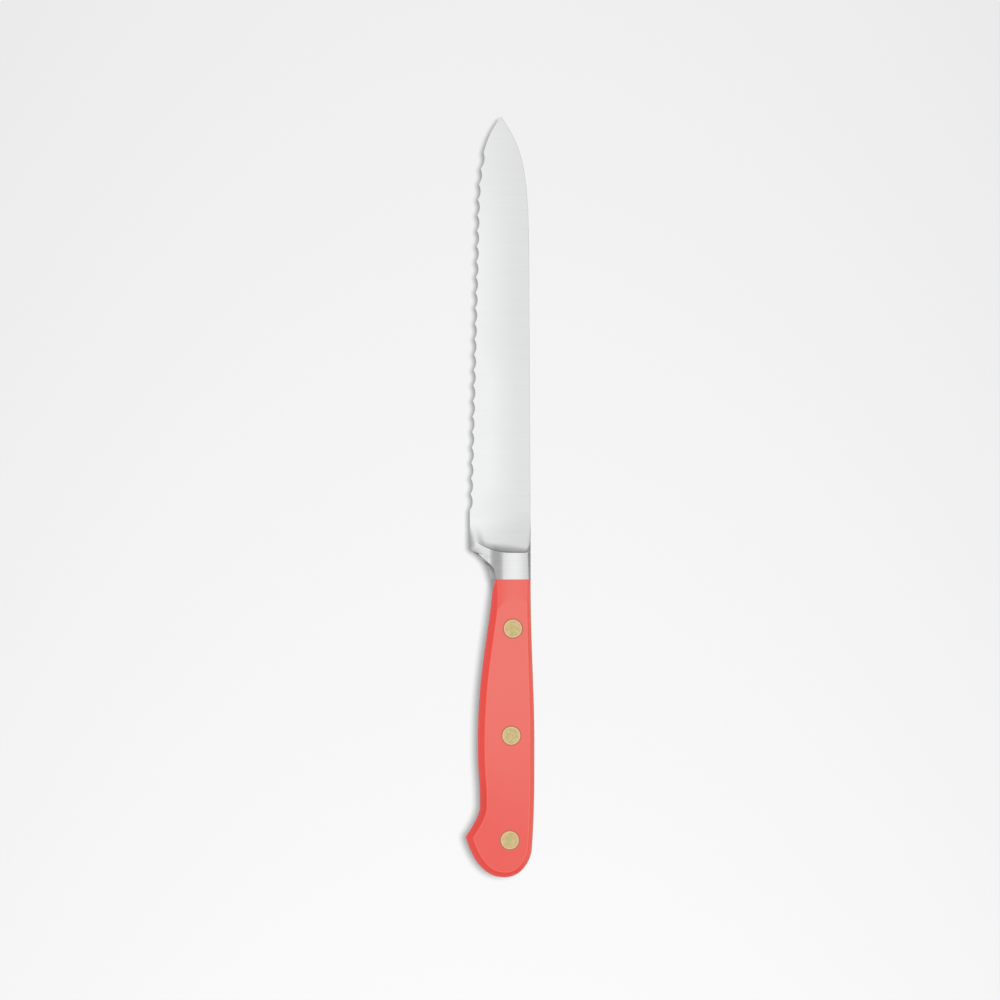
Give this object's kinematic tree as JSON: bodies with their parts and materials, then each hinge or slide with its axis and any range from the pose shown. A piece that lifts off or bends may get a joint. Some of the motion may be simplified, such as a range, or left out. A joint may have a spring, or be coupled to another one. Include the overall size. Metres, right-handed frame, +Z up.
{
  "type": "serrated utility knife",
  "caption": "Forged utility knife with a narrow pointed scalloped blade, a bolster with a small finger guard, a full tang and coral plastic scales held by brass rivets.",
  "frame": {"origin": "middle of the knife's box in plan, on the plane that its lower scale rests on", "axes": "+Y from the handle's butt to the blade's tip, +X from the cutting edge to the spine, +Z up through the handle's thickness, towards the blade's face without a grind"},
  "size_m": [0.0226, 0.2488, 0.013],
  "materials": {
    "blade_steel": "fine brushed",
    "coral_plastic": "satin",
    "rivet_brass": "fine scratched"
  },
  "bodies": {
    "root": {"forged_blade": "blade_steel", "upper_scale": "coral_plastic", "lower_scale": "coral_plastic", "front_rivet_female": "rivet_brass", "front_rivet_male": "rivet_brass", "middle_rivet_female": "rivet_brass", "middle_rivet_male": "rivet_brass", "rear_rivet_female": "rivet_brass", "rear_rivet_male": "rivet_brass"}
  },
  "joints": []
}
